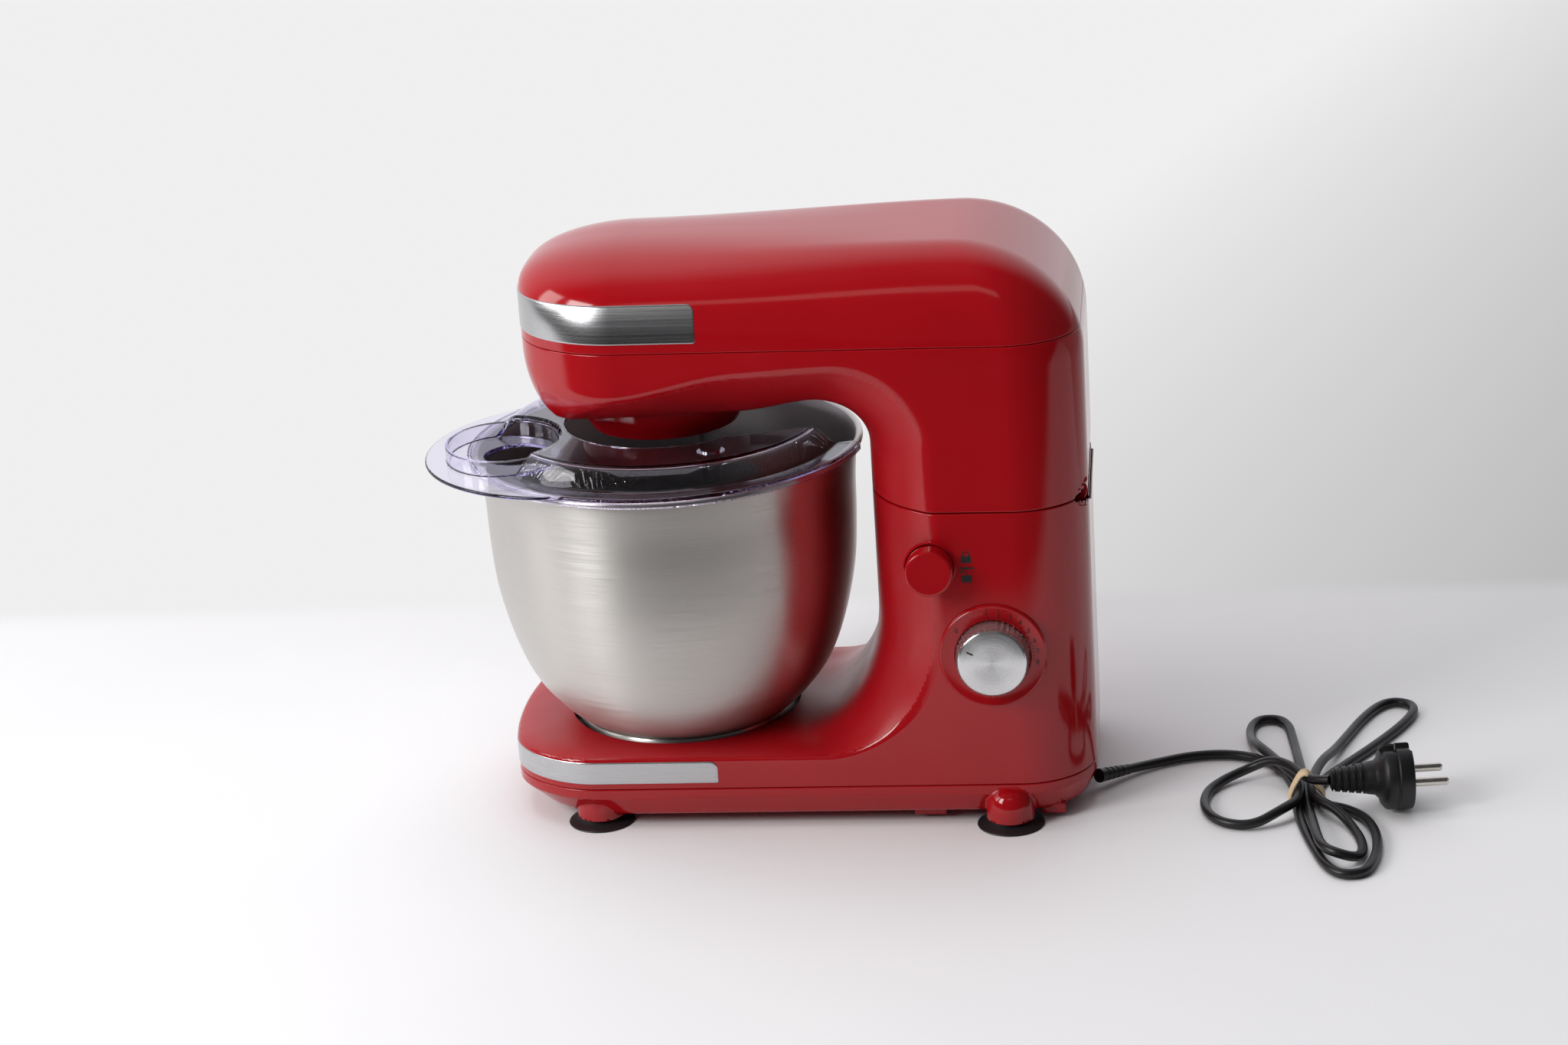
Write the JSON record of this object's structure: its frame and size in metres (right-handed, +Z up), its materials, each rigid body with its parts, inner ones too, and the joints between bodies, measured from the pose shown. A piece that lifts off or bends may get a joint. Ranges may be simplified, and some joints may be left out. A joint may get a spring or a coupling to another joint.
{
  "type": "stand mixer",
  "caption": "Tilting-head stand mixer with planetary drive, twist-lock steel bowl, clear splash lid, side controls and a mains cord.",
  "frame": {"origin": "centre of the machine's bounding box on the surface it stands on, cord left out", "axes": "+X from the nose of the head to the back of the column, +Z up, controls on the -Y side"},
  "size_m": [0.5605, 0.269, 0.324],
  "materials": {
    "red_gloss": "glossy moulded plastic",
    "band_steel": "brushed along the band",
    "bowl_steel": "brushed round the bowl",
    "polished_steel": "polished",
    "plain_steel": "turned steel",
    "foot_rubber": "satin rubber",
    "lid_clear": "clear, faint violet tint",
    "dial_clear": "clear serrated skirt",
    "dial_silver": "radially brushed",
    "inner_black": "moulded",
    "gear_nylon": "machined nylon",
    "drive_alloy": "die cast",
    "motor_iron": "laminated and varnished",
    "board_green": "solder-masked board",
    "belt_rubber": "moulded belt",
    "cord_black": "satin jacket",
    "tie_tan": "rubber band",
    "pin_nickel": "nickel plated"
  },
  "bodies": {
    "base": {"base_shell": "red_gloss", "column_shell": "red_gloss", "base_tray": "red_gloss", "base_trim_band": "band_steel", "suction_feet": "foot_rubber", "foot_screws": "plain_steel", "tray_screws": "plain_steel", "bowl_seat": "inner_black", "hinge_pin": "plain_steel", "lock_collar": "red_gloss", "dial_ring": "red_gloss", "speed_switch": "inner_black", "control_board": "board_green", "safety_switch": "inner_black", "cord_gland": "inner_black", "power_cord": "cord_black", "cord_bundle": "cord_black", "cord_tie": "tie_tan", "plug_body": "cord_black", "plug_pins": "pin_nickel"},
    "head": {"head_top_shell": "red_gloss", "head_lower_shell": "red_gloss", "head_trim_band": "band_steel", "head_screws": "plain_steel", "hub_collar": "red_gloss", "ring_gear": "plain_steel", "gearbox_housing": "drive_alloy", "main_bearings": "plain_steel", "motor_can": "motor_iron", "motor_bracket": "drive_alloy", "drive_belt": "belt_rubber"},
    "rotor": {"motor_shaft": "plain_steel", "motor_pulley": "drive_alloy", "motor_fan": "inner_black"},
    "carrier": {"main_shaft": "plain_steel", "drive_pulley": "drive_alloy", "planet_carrier": "drive_alloy"},
    "spindle": {"planet_gear": "gear_nylon", "tool_spindle": "polished_steel", "spindle_pin": "polished_steel"},
    "bowl": {"mixing_bowl": "bowl_steel", "bowl_foot": "bowl_steel"},
    "lid": {"splash_lid": "lid_clear"},
    "lock": {"lock_knob": "red_gloss", "lock_cam": "inner_black"},
    "dial": {"dial_skirt": "dial_clear", "dial_cap": "dial_silver", "dial_shaft": "inner_black"}
  },
  "joints": [
    {"name": "head_tilt", "type": "hinge", "parent": "base", "child": "head", "pos_m": [0.178, 0, 0.183], "axis": [0, 1, 0], "range_deg": [0, 45]},
    {"name": "planetary_spin", "type": "hinge", "parent": "head", "child": "carrier", "pos_m": [-0.051, 0, 0.226], "axis": [0, 0, 1], "continuous": true},
    {"name": "tool_spin", "type": "hinge", "parent": "carrier", "child": "spindle", "pos_m": [-0.027, 0, 0.226], "axis": [0, 0, 1], "continuous": true},
    {"name": "motor_spin", "type": "hinge", "parent": "head", "child": "rotor", "pos_m": [0.081, 0, 0.26], "axis": [0, 0, 1], "continuous": true},
    {"name": "bowl_twist", "type": "hinge", "parent": "base", "child": "bowl", "pos_m": [-0.051, 0, 0.04], "axis": [0, 0, 1], "range_deg": [0, 30]},
    {"name": "lid_turn", "type": "hinge", "parent": "bowl", "child": "lid", "pos_m": [-0.051, 0, 0.2], "axis": [0, 0, 1], "range_deg": [-40, 40]},
    {"name": "lock_turn", "type": "hinge", "parent": "base", "child": "lock", "pos_m": [0.0992, -0.09, 0.153], "axis": [0, 1, 0], "range_deg": [0, 40]},
    {"name": "speed_turn", "type": "hinge", "parent": "base", "child": "dial", "pos_m": [0.1313, -0.09, 0.1018], "axis": [0, 1, 0], "range_deg": [0, 170]}
  ],
  "couplings": [
    {"joint": "tool_spin", "follows": "planetary_spin", "ratio": -3},
    {"joint": "motor_spin", "follows": "planetary_spin", "ratio": 4}
  ]
}
